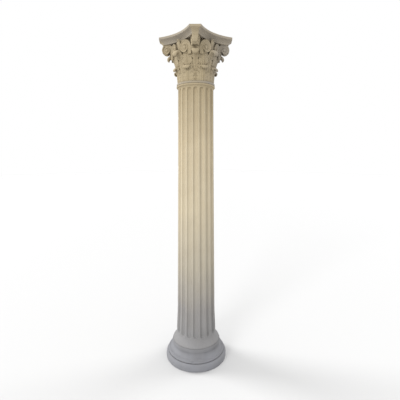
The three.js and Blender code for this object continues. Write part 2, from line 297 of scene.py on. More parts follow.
def tint(tree, kind, share, first, second):
    """Mixes two colours; kind is how, such as MIX or MULTIPLY."""
    node = tree.nodes.new("ShaderNodeMix")
    node.data_type = "RGBA"
    node.blend_type = kind
    plug(tree, node.inputs[0], share)
    plug(tree, node.inputs[MIX_FIRST], first)
    plug(tree, node.inputs[MIX_SECOND], second)
    return node.outputs[MIX_RESULT]


def mark_node(tree, name):
    node = tree.nodes.new("ShaderNodeAttribute")
    node.attribute_name = name
    return node.outputs["Fac"]


def colour_by_height(tree, place, heights):
    """A ramp up the column; a slow noise keeps its steps from lying level."""
    calc = partial(math_node, tree)
    height = add_node(tree, "ShaderNodeSeparateXYZ", Vector=place).outputs["Z"]
    wander = calc("MULTIPLY_ADD", noise_node(tree, place, 5.0, 3.0), 0.16, -0.08)
    level = calc("DIVIDE", calc("ADD", height, wander), COLUMN_SPAN)
    ramp = add_node(tree, "ShaderNodeValToRGB", Fac=level)
    stops = ramp.color_ramp.elements
    while len(stops) < len(heights):
        stops.new(0.5)
    for stop, (height, colour) in zip(stops, heights):
        stop.position = height / COLUMN_SPAN
        stop.color = (*colour, 1)
    return ramp.outputs[0]


def mottled(tree, place, colour):
    """Soft patches, upright streaks and fine grain."""
    calc = partial(math_node, tree)
    blotch = calc("MULTIPLY_ADD", noise_node(tree, place, 7.0, 8.0), 2.6, -0.95, clamp=True)
    colour = tint(tree, "MULTIPLY", calc("MULTIPLY", blotch, 0.3), colour, PATCHES)
    streak = noise_node(tree, place, 1.0, 5.0, stretch=(34, 34, 2.2))
    streak = calc("MULTIPLY_ADD", streak, 3.2, -1.45, clamp=True)
    colour = tint(tree, "MULTIPLY", calc("MULTIPLY", streak, 0.22), colour, CRUST)
    grain = calc("MULTIPLY_ADD", noise_node(tree, place, 190.0, 3.0), 0.22, 0.89)
    return tint(tree, "MULTIPLY", 1.0, colour, grain)


def shaded_and_grimed(tree, ragged, colour):
    """Painted shade and grime where the marks on the mesh put them, with ragged edges."""
    calc = partial(math_node, tree)
    # Painted shade on the side away from the key light and on the abacus, from its mark.
    soot = calc("ADD", mark_node(tree, "soot"), calc("MULTIPLY_ADD", ragged, 0.5, -0.25))
    soot = calc("MULTIPLY", calc("SUBTRACT", soot, 0.12, clamp=True), 1.1, clamp=True)
    colour = tint(tree, "MIX", soot, colour, SIDE_SHADE)
    # Painted shade and grime in the hollows, from the mark of blocked rays.
    hollow_shade_and_grime = calc("ADD", mark_node(tree, "sheltered"), calc("MULTIPLY_ADD", ragged, 0.3, -0.15))
    hollow_shade_and_grime = calc("MULTIPLY_ADD", hollow_shade_and_grime, 2.6, -0.95, clamp=True)
    return tint(tree, "MULTIPLY", calc("MULTIPLY", hollow_shade_and_grime, 0.92), colour, SHADE_AND_GRIME)


def pitted(tree, place):
    """Fine grain and small pits as bumps, a few millimetres deep at most."""
    calc = partial(math_node, tree)
    pits = add_node(tree, "ShaderNodeTexVoronoi", Scale=75.0, Vector=place)
    pit = calc("MULTIPLY", pits.outputs["Distance"], 2.4, clamp=True)
    relief = calc("ADD", calc("MULTIPLY", pit, 0.35), noise_node(tree, place, 140.0, 8.0))
    bump = add_node(tree, "ShaderNodeBump", Strength=0.35, Distance=0.003, Height=relief)
    return bump.outputs[0]


def weathered_stone(name, heights):
    """heights is a list of (height in metres, colour) up the stone."""
    material = bpy.data.materials.new(name)
    material.use_nodes = True
    tree = material.node_tree
    place = tree.nodes.new("ShaderNodeTexCoord").outputs["Object"]
    ragged = noise_node(tree, place, 26.0, 5.0)
    colour = mottled(tree, place, colour_by_height(tree, place, heights))
    shader = tree.nodes["Principled BSDF"].inputs
    plug(tree, shader["Base Color"], shaded_and_grimed(tree, ragged, colour))
    plug(tree, shader["Roughness"], math_node(tree, "MULTIPLY_ADD", ragged, 0.2, 0.78))
    plug(tree, shader["Specular IOR Level"], 0.25)
    plug(tree, shader["Normal"], pitted(tree, place))
    return material


base_finish = weathered_stone(
    "grey base stone",
    [(0.0, (0.216, 0.219, 0.236)), (0.12, (0.210, 0.212, 0.226)), (0.19, (0.185, 0.185, 0.191))],
)
shaft_finish = weathered_stone(
    "cream shaft stone",
    [(0.26, (0.225, 0.222, 0.224)), (0.5, (0.262, 0.252, 0.243)), (0.95, (0.400, 0.364, 0.292)),
     (1.5, (0.510, 0.447, 0.326)), (2.05, (0.500, 0.426, 0.298)), (2.56, (0.370, 0.304, 0.196))],
)
capital_finish = weathered_stone(
    "ochre capital stone", [(2.6, (0.355, 0.292, 0.185)), (3.0, (0.350, 0.292, 0.196))]
)
print("finishes:", [m.name for m in bpy.data.materials if m.name.endswith("stone")])

# %% [markdown]
# ## Wear
# No edge on an old stone is straight. A small tree moves each point in or out along its normal by
# a slow noise, so that edges waver by a millimetre or two. Every stone goes through it once.

# %% A tree that weathers a surface
def wear_tree():
    tree, entry, ending = new_tree("Wear", Depth=0.002, Scale=9.0, Seed=3.0)
    place = tree.nodes.new("GeometryNodeInputPosition")
    normal = tree.nodes.new("GeometryNodeInputNormal")
    rough = add_node(tree, "ShaderNodeTexNoise", Vector=place.outputs[0], Detail=4.0,
                     Scale=entry.outputs["Scale"])
    rough.noise_dimensions = "4D"
    tree.links.new(entry.outputs["Seed"], rough.inputs["W"])
    either_way = math_node(tree, "SUBTRACT", rough.outputs["Fac"], 0.5)
    depth = math_node(tree, "MULTIPLY", either_way,
                      math_node(tree, "MULTIPLY", entry.outputs["Depth"], 2.0))
    along = tree.nodes.new("ShaderNodeVectorMath")
    along.operation = "SCALE"
    tree.links.new(normal.outputs[0], along.inputs[0])
    tree.links.new(depth, along.inputs["Scale"])
    move = add_node(tree, "GeometryNodeSetPosition", Geometry=entry.outputs["Geometry"],
                    Offset=along.outputs[0])
    end_tree(tree, entry, ending, move.outputs[0])
    return tree


wear = wear_tree()

# %% [markdown]
# ## The base
# The base is turned on a lathe in one's mind: a fat roll on the ground, a bead and a lip, a
# hollow that draws in, and a thinner roll on top. A profile drawn once and swept round the axis is
# the natural way. The profile has many points where it bends and few where it is straight.

# %% Turn the base
ROLL_RADIUS, ROLL_HEIGHT, ROLL_TUCK = 0.296, 0.071, 0.005
BEAD_RADIUS, BEAD_HEIGHT = 0.276, 0.021
LIP_RADIUS, LIP_HEIGHT = 0.269, 0.007
HOLLOW_RADIUS = 0.229
TOP_ROLL_RADIUS, TOP_ROLL_HEIGHT, TOP_ROLL_TUCK = 0.235, 0.044, 0.008


def straight(start, end, spacing=0.004):
    """Points from start up to, but without, end."""
    start, end = np.array(start), np.array(end)
    count = max(1, round(float(np.linalg.norm(end - start)) / spacing))
    return [tuple(mix(start, end, i / count)) for i in range(count)]


def base_profile():
    bead_foot = ROLL_HEIGHT
    lip_foot = bead_foot + BEAD_HEIGHT
    hollow_foot = lip_foot + LIP_HEIGHT
    roll_foot = BASE_TOP - TOP_ROLL_HEIGHT
    middle = ROLL_HEIGHT * 0.45
    profile = [(ROLL_RADIUS * share, 0) for share in (0.35, 0.7, 0.9, 0.96)]
    profile += [(ROLL_RADIUS - ROLL_TUCK, 0)]
    for turn in np.radians(np.linspace(-70, 90, 30)):
        low = middle if turn < 0 else bead_foot - middle
        tuck = ROLL_TUCK * 1.1 if turn < 0 else ROLL_RADIUS - BEAD_RADIUS
        out = tuck * (math.cos(turn) - 1)
        profile.append((ROLL_RADIUS + out, middle + low * math.sin(turn)))
    profile.append((BEAD_RADIUS - 0.0035, bead_foot + 0.0006))
    for turn in np.radians(np.linspace(-75, 90, 12)):
        out = 0.006 * (math.cos(turn) - 1)
        profile.append((BEAD_RADIUS + out, bead_foot + BEAD_HEIGHT * (1 + math.sin(turn)) / 2))
    profile += straight((LIP_RADIUS, lip_foot + 0.0004), (LIP_RADIUS, hollow_foot - 0.001), 0.002)
    for turn in np.radians(np.linspace(4, 90, 26)):
        out = (LIP_RADIUS - HOLLOW_RADIUS) * (1 - math.sin(turn))
        up = (roll_foot - hollow_foot) * (1 - math.cos(turn))
        profile.append((HOLLOW_RADIUS + out, hollow_foot + up))
    for turn in np.radians(np.linspace(-78, 90, 26)):
        out = TOP_ROLL_TUCK * (math.cos(turn) - 1)
        up = TOP_ROLL_HEIGHT / 2 * (1 + math.sin(turn))
        profile.append((TOP_ROLL_RADIUS + out, roll_foot + up))
    profile += [(0.2, BASE_TOP), (0.1, BASE_TOP)]
    return profile


base = new_piece("base_stone", *turned(base_profile(), circle(320)), crease=50)
run_tree(base, wear, Depth=0.0012, Scale=11.0, Finish=base_finish)
print("base:", len(base.data.polygons), "faces")

# %% [markdown]
# ## The shaft
# The shaft swells towards its foot and flares out on to a flat band; a round astragal closes it
# under the capital. The plain blank is turned like the base. Its columns of points stand closest
# where a flute will end and a fillet begin, so that those edges come out crisp.

# %% Turn the blank of the shaft
LOW_RADIUS, NECK_RADIUS, ENTASIS = 0.181, 0.1595, 1.25
SWELL, SWELL_HEIGHT = 0.009, 0.26
BAND_RADIUS, BAND_HEIGHT = 0.227, 0.009
FLARE_HEIGHT, FLARE_CURVE = 0.067, 1.8
NECK_HEIGHT = 0.008
ASTRAGAL_RADIUS, ASTRAGAL_HEIGHT = 0.173, 0.017
FLUTES, FLUTE_SHARE, FLUTE_DEPTH, FLUTE_END_GAP = 18, 0.72, 0.016, 0.005

FLARE_TOP = BASE_TOP + BAND_HEIGHT + FLARE_HEIGHT
ASTRAGAL_FOOT = SHAFT_TOP - ASTRAGAL_HEIGHT
SHAFT_NECK = ASTRAGAL_FOOT - NECK_HEIGHT
FLUTE_FOOT = FLARE_TOP + FLUTE_END_GAP
FLUTE_HEAD = SHAFT_NECK - FLUTE_END_GAP


def shaft_radius(height):
    swell_top = FLARE_TOP + SWELL_HEIGHT
    fall = np.clip((SHAFT_NECK - height) / (SHAFT_NECK - swell_top), 0, 1) ** ENTASIS
    swell = SWELL * smoothstep(0, SWELL_HEIGHT, swell_top - height)
    return mix(NECK_RADIUS, LOW_RADIUS, fall) + swell


def shaft_profile():
    foot, band_top, edge = shaft_radius(FLARE_TOP), BASE_TOP + BAND_HEIGHT, 0.0015
    profile = [(0.12, BASE_TOP), (0.2, BASE_TOP)]
    profile += [(BAND_RADIUS - edge, BASE_TOP), (BAND_RADIUS, BASE_TOP + edge)]
    profile += [(BAND_RADIUS, band_top - edge), (BAND_RADIUS - edge, band_top)]
    for share in np.linspace(0.97, 0, 26):
        height = FLARE_TOP - FLARE_HEIGHT * share
        profile.append((shaft_radius(height) + (BAND_RADIUS - foot) * share**FLARE_CURVE, height))
    ends = 0.034
    heights = list(np.linspace(FLUTE_FOOT, FLUTE_FOOT + ends, 14))
    heights += list(np.linspace(FLUTE_FOOT + ends, FLUTE_HEAD - ends, 150)[1:-1])
    heights += list(np.linspace(FLUTE_HEAD - ends, FLUTE_HEAD, 14)) + [SHAFT_NECK]
    profile += [(shaft_radius(height), height) for height in heights]
    for turn in np.radians(np.linspace(-85, 85, 12)):
        out = ASTRAGAL_HEIGHT / 2 * (math.cos(turn) - 1)
        up = ASTRAGAL_HEIGHT / 2 * (1 + math.sin(turn))
        profile.append((ASTRAGAL_RADIUS + out, ASTRAGAL_FOOT + up))
    return profile + [(0.16, SHAFT_TOP), (0.08, SHAFT_TOP)]


def flute_angles():
    """Columns for each flute: close together at its edges, where the fillet begins."""
    hollow = np.sin(np.linspace(-90, 90, 17) * math.pi / 180) * FLUTE_SHARE / 2
    fillet = np.linspace(FLUTE_SHARE / 2, 1 - FLUTE_SHARE / 2, 5)[1:-1]
    one = np.concatenate([hollow, fillet]) * math.tau / FLUTES
    return np.concatenate([VIEW_CORNER + one + math.tau * i / FLUTES for i in range(FLUTES)])


shaft = new_piece("shaft_stone", *turned(shaft_profile(), flute_angles()), crease=30)
print("blank shaft:", len(shaft.data.vertices), "points")

# %% [markdown]
# ## The flutes
# A mason cuts the flutes into a shaft that is already round, and this step does the same by rule:
# each point knows its angle and height, and so how deep in a flute it lies. A Geometry Nodes tree
# was chosen, since number, share, depth and ends of the flutes stay inputs that can be tried.

# %% A tree that cuts the flutes
def flute_tree():
    tree, entry, ending = new_tree(
        "Flutes", Flutes=18.0, Share=0.7, Depth=0.016, Foot=0.3, Head=2.5, Start=0.0
    )
    size, calc = entry.outputs, partial(math_node, tree)
    place = tree.nodes.new("GeometryNodeInputPosition")
    x, y, z = add_node(tree, "ShaderNodeSeparateXYZ", Vector=place.outputs[0]).outputs
    reach = calc("SQRT", calc("ADD", calc("MULTIPLY", x, x), calc("MULTIPLY", y, y)))
    angle = calc("SUBTRACT", calc("ARCTAN2", y, x), size["Start"])
    turn = calc("MULTIPLY", angle, calc("DIVIDE", size["Flutes"], math.tau))
    offset = calc("SUBTRACT", turn, calc("ROUND", turn))
    across = calc("DIVIDE", offset, calc("MULTIPLY", size["Share"], 0.5))
    half = calc("MULTIPLY", calc("MULTIPLY", reach, math.pi), size["Share"])
    half = calc("DIVIDE", half, size["Flutes"])
    above, below = calc("SUBTRACT", z, size["Foot"]), calc("SUBTRACT", size["Head"], z)
    from_end = calc("MINIMUM", above, below)
    short = calc("SUBTRACT", 1.0, calc("DIVIDE", from_end, half), clamp=True)
    width = calc("SUBTRACT", 1.0, calc("MULTIPLY", short, short))
    hollow = calc("SUBTRACT", width, calc("MULTIPLY", across, across), clamp=True)
    cut = calc("MULTIPLY", calc("POWER", hollow, 0.5), size["Depth"])
    keep = calc("SUBTRACT", 1.0, calc("DIVIDE", cut, reach))
    moved = add_node(tree, "ShaderNodeCombineXYZ", X=calc("MULTIPLY", x, keep),
                     Y=calc("MULTIPLY", y, keep), Z=z)
    move = add_node(tree, "GeometryNodeSetPosition", Geometry=entry.outputs["Geometry"],
                    Position=moved.outputs[0])
    end_tree(tree, entry, ending, move.outputs[0])
    return tree


run_tree(shaft, flute_tree(), Flutes=float(FLUTES), Share=FLUTE_SHARE, Depth=FLUTE_DEPTH,
         Foot=FLUTE_FOOT, Head=FLUTE_HEAD, Start=VIEW_CORNER, Finish=shaft_finish)
run_tree(shaft, wear, Depth=0.0010, Scale=14.0, Finish=shaft_finish)
print("shaft:", len(shaft.data.polygons), "faces")

# %% [markdown]
# ## Chips
# Knocks have broken small bites out of the sharp edges between flutes and out of the rolls of the
# base. Each bite is a ball: a point inside it is pushed back to the ball's far side, as if a
# flake had sprung off. A few are placed one by one, where they show in the outline, and the rest
# are strewn with a fixed seed.

# %% Break out the chips
STREWN_ON_SHAFT, STREWN_ON_EACH_ROLL = 46, 6


def chip(piece, bites):
    """Each bite is (angle, height, surface radius, ball size, depth)."""
    points = points_of(piece).astype(float)
    for angle, height, radius, size, depth in bites:
        outward = np.array([math.cos(angle), math.sin(angle), 0])
        centre = outward * (radius + size - depth) + [0, 0, height]
        away = points - centre
        distance = np.linalg.norm(away, axis=1)
        inside = distance < size
        back = away[inside] @ outward
        short = size**2 - distance[inside] ** 2 + back**2
        points[inside] -= np.outer(back + np.sqrt(short), outward)
    piece.data.vertices.foreach_set("co", points.astype(np.float32).ravel())
    piece.data.update()


def arris_angle(flute, side):
    return VIEW_CORNER + math.tau / FLUTES * (flute + side * FLUTE_SHARE / 2)


random = np.random.default_rng(11)
left_edge = VIEW_CORNER - math.radians(86)
shaft_chips = []
for height, size, depth in [(2.32, 0.02, 0.005), (1.865, 0.022, 0.005), (1.83, 0.016, 0.004),
                            (0.52, 0.02, 0.005)]:
    shaft_chips.append((left_edge, height, float(shaft_radius(height)), size, depth))
for _ in range(STREWN_ON_SHAFT):
    height = random.uniform(FLUTE_FOOT, FLUTE_HEAD)
    angle = arris_angle(random.integers(0, FLUTES), random.choice([-1, 1]))
    shaft_chips.append((angle, height, float(shaft_radius(height)), random.uniform(0.01, 0.022),
                        random.uniform(0.0015, 0.004)))
chip(shaft, shaft_chips)
base_chips = [
    (random.uniform(0, math.tau), height + random.uniform(-0.006, 0.006), radius,
     random.uniform(0.014, 0.03), random.uniform(0.0015, 0.004))
    for height, radius in [(0.03, ROLL_RADIUS), (0.082, BEAD_RADIUS), (0.096, LIP_RADIUS),
                           (0.165, TOP_ROLL_RADIUS)]
    for _ in range(STREWN_ON_EACH_ROLL)
]
chip(base, base_chips)
print("chips:", len(shaft_chips), "on the shaft,", len(base_chips), "on the base")

# %% [markdown]
# ## The bell
# Behind the leaves the capital is a bell: a flat ring at its foot, then a wall that widens as it
# rises. It is turned like the base, as it is round all the way up.

# %% Turn the bell
RING_RADIUS, RING_HEIGHT = 0.171, 0.018
BELL_FOOT_RADIUS, BELL_LIP_RADIUS, BELL_CURVE = 0.150, 0.188, 1.7
ABACUS_HEIGHT, ABACUS_FILLET, ABACUS_UNDERCUT = 0.057, 0.022, 0.028
HORN_REACH, HORN_WIDTH, SIDE_HOLLOW = 0.321, 0.095, 0.044
ABACUS_FOOT = COLUMN_TOP - ABACUS_HEIGHT


def bell_radius(height):
    """The bell's radius at a height above the foot of the capital."""
    share = np.clip(height / (ABACUS_FOOT - SHAFT_TOP), 0, 1)
    return mix(BELL_FOOT_RADIUS, BELL_LIP_RADIUS, share**BELL_CURVE)


def bell_profile():
    edge = 0.002
    profile = [(0.08, 0), (0.15, 0), (RING_RADIUS - edge, 0), (RING_RADIUS, edge)]
    profile += straight((RING_RADIUS, edge), (RING_RADIUS, RING_HEIGHT - edge))[1:]
    profile += [(RING_RADIUS, RING_HEIGHT - edge), (RING_RADIUS - edge, RING_HEIGHT)]
    profile += [(0.158, RING_HEIGHT + 0.001)]
    for height in np.linspace(RING_HEIGHT + 0.004, ABACUS_FOOT - SHAFT_TOP - 0.001, 46):
        profile.append((float(bell_radius(height)), height))
    profile += [(0.12, ABACUS_FOOT - SHAFT_TOP), (0.06, ABACUS_FOOT - SHAFT_TOP)]
    return [(radius, SHAFT_TOP + height) for radius, height in profile]


bell = new_piece("capital_bell", *turned(bell_profile(), circle(240)))
run_tree(bell, wear, Depth=0.0014, Scale=12.0, Finish=capital_finish)
print("bell:", len(bell.data.polygons), "faces")

# %% [markdown]
# ## The abacus
# The abacus is a slab whose four sides curve in between cut horns, over a hollow moulding. It
# could be carved out of a block, but its outline is the same at every level, only drawn in where
# the moulding is narrower. So it is laid up of level rings, and each ring knows its painted shade.

# %% Lay up the abacus
SIDE_STEPS, HORN_STEPS = 44, 14
HOLLOW_LIP, HOLLOW_STEP = 0.003, 0.004


def abacus_outline(inset):
    """One ring of the abacus drawn in by an inset: along each side, then across each horn."""
    edge = (HORN_REACH - inset) * math.sqrt(0.5)
    chord = math.sqrt(0.5) * (HORN_REACH - HORN_WIDTH / 2)
    turning = math.radians(45) + 2 * math.atan(SIDE_HOLLOW / chord)
    horn = HORN_WIDTH / 2 - inset * math.tan(turning / 2)
    half, side = edge - horn * math.sqrt(0.5), edge + horn * math.sqrt(0.5)
    across = np.linspace(-1, 1, SIDE_STEPS + 1)
    hollow = SIDE_HOLLOW * (1 - across**2) * half / chord
    along = np.stack([side - hollow, half * across], 1)
    step = np.linspace(0, 1, HORN_STEPS + 1)[1:-1, None]
    corner = mix(np.array([side, half]), np.array([half, side]), step)
    quarter = np.concatenate([along, corner])
    quarter_turns = [(1, 0), (0, 1), (-1, 0), (0, -1)]
    return np.concatenate([quarter @ np.array([[c, s], [-s, c]]) for c, s in quarter_turns])


def hollow_inset(share):
    """How far the hollow moulding lies back, from the slab's underside up to its fillet."""
    inset = (ABACUS_UNDERCUT - HOLLOW_LIP) * math.cos(share * math.pi / 2) + HOLLOW_LIP
    return inset + HOLLOW_STEP * (1 - share**8)


def abacus_levels():
    """(inset, height, painted shade) from the underside to the top; the shade is strongest in the
    hollow moulding and under the fillet, least along the top edge.
    """
    fillet_foot = COLUMN_TOP - ABACUS_FILLET
    levels = [(0.14, ABACUS_FOOT, 0.2), (0.07, ABACUS_FOOT, 0.2)]
    for share in np.linspace(0, 1, 20):
        levels.append((hollow_inset(share), mix(ABACUS_FOOT, fillet_foot, share), 0.8))
    levels += [(0.0032, fillet_foot + 0.0025, 0.9), (0.0006, fillet_foot + 0.0032, 0.8)]
    levels += [(0.0, mix(fillet_foot, COLUMN_TOP, share), 0.75) for share in (0.3, 0.5, 0.7)]
    levels += [(0.0, COLUMN_TOP - 0.0025, 0.5), (0.001, COLUMN_TOP - 0.0006, 0.1)]
    return levels + [(0.003, COLUMN_TOP, 0.1), (0.03, COLUMN_TOP, 0.2), (0.12, COLUMN_TOP, 0.2)]


def lay_abacus():
    rings, soot = [], []
    for inset, height, dark in abacus_levels():
        ring = abacus_outline(inset) if inset < 0.05 else abacus_outline(0.03) * (1 - inset * 4)
        rings.append(np.column_stack([ring, np.full(len(ring), height)]))
        # The horns get a third of the painted shade of the sides.
        side = np.arange(len(ring)) % (SIDE_STEPS + HORN_STEPS) <= SIDE_STEPS
        soot.append(np.where(side, dark, 0.3 * dark))
    slab = new_piece("capital_abacus", *stacked(rings), crease=32)
    add_mark(slab.data, "soot", np.concatenate(soot + [[0.2, 0.2]]))
    return slab


abacus = lay_abacus()
run_tree(abacus, wear, Depth=0.0013, Scale=13.0, Finish=capital_finish)
print("abacus:", len(abacus.data.polygons), "faces")

# %% [markdown]
# ## The leaves
# Two rows of eight acanthus leaves hug the bell, curl over at the top and hang their tips. A leaf
# is a sheet of points laid along its own line, up the bell and over, and across its width. Rules
# shape it: lobes cut the edge, furrows fan out to each lobe, a midrib stands up in the middle.
# A sheet with a back and a rim is a closed shell, as every carved leaf on a real bell is solid.

# %% A leaf's line and sheet
def spline(points, shares):
    """A smooth line through points, read off at shares of its length."""
    points = np.array(points, float)
    padded = np.concatenate([points[:1], points, points[-1:]])
    fine = []
    for i in range(len(points) - 1):
        a, b, c, d = padded[i : i + 4]
        t = np.linspace(0, 1, 40, endpoint=i == len(points) - 2)[:, None]
        slope, next_slope = (c - a) / 2, (d - b) / 2
        fine.append((2 * b - 2 * c + slope + next_slope) * t**3
                    + (-3 * b + 3 * c - 2 * slope - next_slope) * t**2 + slope * t + b)
    fine = np.concatenate(fine)
    length = np.concatenate([[0], np.cumsum(np.linalg.norm(np.diff(fine, axis=0), axis=1))])
    wanted = np.clip(shares, 0, 1) * length[-1]
    return np.stack([np.interp(wanted, length, fine[:, i]) for i in (0, 1)], -1)


def leaf_line(leaf, shares):
    """(radius, height) up the bell, over the fold and down to the tip."""
    top, drop, reach = leaf["top"], leaf["drop"], leaf["reach"]
    foot = RING_HEIGHT * 0.6
    middle, shoulder = mix(foot, top, 0.45), top - 1.2 * drop
    shoulder_radius = bell_radius(shoulder) + leaf["lean"]
    return spline([
        (bell_radius(foot) + leaf["stand"], foot),
        (bell_radius(middle) + leaf["stand"] + leaf["lean"] * 0.2, middle),
        (shoulder_radius, shoulder),
        (mix(shoulder_radius, reach, 0.45), top - 0.12 * drop),
        (reach - 0.36 * drop, top),
        (reach, top - 0.45 * drop),
        (reach - 0.12 * drop, top - drop),
    ], shares)


LOWER_LEAF = dict(top=0.134, drop=0.022, reach=0.202, width=0.122, tip=0.38, swell=1.0,
                  stand=0.004, lean=0.006, lobes=5, cut=0.22, relief=1.0)
UPPER_LEAF = dict(top=0.248, drop=0.032, reach=0.243, width=0.104, tip=0.5, swell=1.6,
                  stand=-0.001, lean=0.014, lobes=7, cut=0.22, relief=1.0)
STEM_LEAF = dict(top=0.240, drop=0.004, reach=0.206, width=0.096, tip=0.75, swell=1.0,
                 stand=0.006, lean=0.022, lobes=4, cut=0.1, relief=0.9)
FACE_LEAF = dict(top=0.344, drop=0.005, reach=0.214, width=0.040, tip=0.8, swell=1.0,
                 stand=0.006, lean=0.018, lobes=5, cut=0.08, relief=0.25)
LEAF_THICKNESS, LEAF_COLUMNS, ROWS_PER_LOBE = 0.016, 33, 12
LOBE_RISE, VEIN_RISE, FURROW_RISE, RIB_RISE, EYE_SINK = 0.0042, 0.0011, 0.0022, 0.0034, 0.0080


def from_seam(leaf, along):
    """0 in the seam between two lobes, 0.5 in the middle of a lobe."""
    return np.abs(along * leaf["lobes"] - np.round(along * leaf["lobes"]))


def leaf_relief(leaf, across, along):
    """How far the carved face stands above the plain leaf, in metres."""
    seam, off = from_seam(leaf, along), np.abs(across)
    folded = smoothstep(0.6, 0.8, along)
    outer = smoothstep(0.2, 0.75, off) * (1 - 0.85 * folded)
    height = LOBE_RISE * outer * (0.7 - 2.1 * np.exp(-((seam / 0.12) ** 2)))
    height += VEIN_RISE * outer * np.cos(math.tau * 3 * along * leaf["lobes"])
    furrow = FURROW_RISE * np.cos(math.tau * 2.6 * off**0.85)
    height += furrow * (1 - outer * 0.8) * (1 - 0.5 * folded)
    height += RIB_RISE * np.exp(-((across / 0.09) ** 2))
    eye = EYE_SINK * np.exp(-(((off - 0.62) / 0.075) ** 2) - (seam / 0.085) ** 2)
    height -= eye * (1 - folded)
    return leaf["relief"] * height * (1 - 0.7 * smoothstep(0.9, 1, along))


def leaf_outline(leaf, across, along):
    """Half the leaf's width: notched between lobes, toothed, and rounded off at the tip."""
    carved = smoothstep(0.0, 0.12, along) * (1 - smoothstep(0.64, 0.82, along))
    notch = np.exp(-((from_seam(leaf, along) / 0.13) ** 2)) * carved
    teeth = np.cos(math.tau * 3 * along * leaf["lobes"]) * carved
    narrowed = 1 - leaf["cut"] * (0.3 + 1.2 * notch - 0.22 * teeth) * across**2
    end = np.sqrt(1 - 0.75 * (np.clip(along - 0.86, 0, 1) / 0.14) ** 2)
    return leaf["width"] / 2 * mix(1, leaf["tip"], along**3) * narrowed * end


def carve_leaf(name, leaf):
    """A leaf that stands at +X; rows run up it and over, columns from edge to edge."""
    rows = leaf["lobes"] * ROWS_PER_LOBE + 1
    along, across = np.meshgrid(np.linspace(0, 1, rows), np.linspace(-1, 1, LEAF_COLUMNS),
                                indexing="ij")
    fan = 0.09 * np.sin(math.pi * np.clip(along / 0.8, 0, 1)) ** 0.8 * np.abs(across) ** 1.3
    share = np.clip(along + fan, 0, 1)
    line = leaf_line(leaf, share)
    ahead, behind = np.clip(share + 0.004, 0, 1), np.clip(share - 0.004, 0, 1)
    step = leaf_line(leaf, ahead) - leaf_line(leaf, behind)
    slope = step / np.linalg.norm(step, axis=-1, keepdims=True)
    half = leaf_outline(leaf, across, along)
    thick = LEAF_THICKNESS * mix(1, leaf["swell"], along) / 2
    thick = thick * np.sqrt(np.clip(1 - (np.clip(along - 0.92, 0, 1) / 0.085) ** 2, 0.06, 1))
    folded = smoothstep(0.7, 0.9, along)
    sheets = []
    for side in (1, -1):
        lift = side * thick * (1 - mix(0.1, 0.5, folded) * across**2)
        if side > 0:
            lift = lift - 0.006 * across**2 * (1 - along) + leaf_relief(leaf, across, along)
        radius = line[..., 0] + slope[..., 1] * lift
        height = line[..., 1] - slope[..., 0] * lift
        angle = across * half / line[..., 0]
        sheets.append(np.stack([radius * np.cos(angle), radius * np.sin(angle),
                                SHAFT_TOP + height], -1))
    return closed_sheet(name, *sheets)


def closed_sheet(name, face, rear):
    """A solid between two grids of points, the face and the rear, with a rim round both."""
    rows, columns = face.shape[:2]
    points = np.concatenate([face.reshape(-1, 3), rear.reshape(-1, 3)])
    back = rows * columns
    faces = grid_faces(rows, columns)
    faces += [quad[::-1] for quad in grid_faces(rows, columns, first=back)]
    rim = list(range(columns)) + [r * columns + columns - 1 for r in range(1, rows)]
    rim += [(rows - 1) * columns + c for c in range(columns - 2, -1, -1)]
    rim += [r * columns for r in range(rows - 2, 0, -1)]
    for i, a in enumerate(rim):
        b = rim[(i + 1) % len(rim)]
        faces.append([b, a, a + back, b + back])
    return new_piece(name, points, faces, crease=60)


# %% [markdown]
# ## Rings of copies
# Each kind of leaf and scroll stands several times round the bell. One is carved, and a Geometry
# Nodes tree sets its copies on a point at the axis and turns each by its share of the circle. The
# wear that follows is different for each copy, as no two carved leaves are quite the same.

# %% A tree that sets copies in a ring
def ring_tree():
    tree, entry, ending = new_tree("Ring of copies", Copies=8, Start=0.0)
    dots = add_node(tree, "GeometryNodePoints", Count=entry.outputs["Copies"])
    number = tree.nodes.new("GeometryNodeInputIndex")
    step = math_node(tree, "DIVIDE", math.tau, entry.outputs["Copies"])
    angle = math_node(tree, "MULTIPLY_ADD", number.outputs[0], step, entry.outputs["Start"])
    euler = add_node(tree, "ShaderNodeCombineXYZ", Z=angle)
    turn = add_node(tree, "FunctionNodeEulerToRotation", Euler=euler.outputs[0])
    copies = add_node(tree, "GeometryNodeInstanceOnPoints", Points=dots.outputs[0],
                      Instance=entry.outputs["Geometry"], Rotation=turn.outputs[0])
    end_tree(tree, entry, ending, copies.outputs[0])
    return tree


ring = ring_tree()
EIGHTH, HORN = math.tau / 8, math.radians(45)


def ring_of(piece, copies, start, depth=0.0016):
    run_tree(piece, ring, Copies=copies, Start=start, Finish=capital_finish)
    run_tree(piece, wear, Depth=depth, Scale=16.0, Finish=capital_finish)
    print(piece.name, "x", copies, "=", len(piece.data.polygons), "faces")
    return piece


# %% Carve the leaves and set them round the bell
lower_leaves = ring_of(carve_leaf("capital_lower_leaves", LOWER_LEAF), 8, HORN + EIGHTH / 2)
upper_leaves = ring_of(carve_leaf("capital_upper_leaves", UPPER_LEAF), 8, HORN)
stems = ring_of(carve_leaf("capital_stems", STEM_LEAF), 8, HORN + EIGHTH / 2)
face_leaves = ring_of(carve_leaf("capital_face_leaves", FACE_LEAF), 4, HORN + EIGHTH)

# %% [markdown]
# ## The scrolls
# Under each horn two volutes meet, and beside them smaller scrolls curl in to the middle of each
# face. A scroll is a spiral ridge beside a hollow channel that winds in to a round eye. The
# mesh follows the spiral: each row of points crosses the band from one turn of the ridge to the
# next, so the ridge is always an edge of the mesh and stays crisp with few faces.

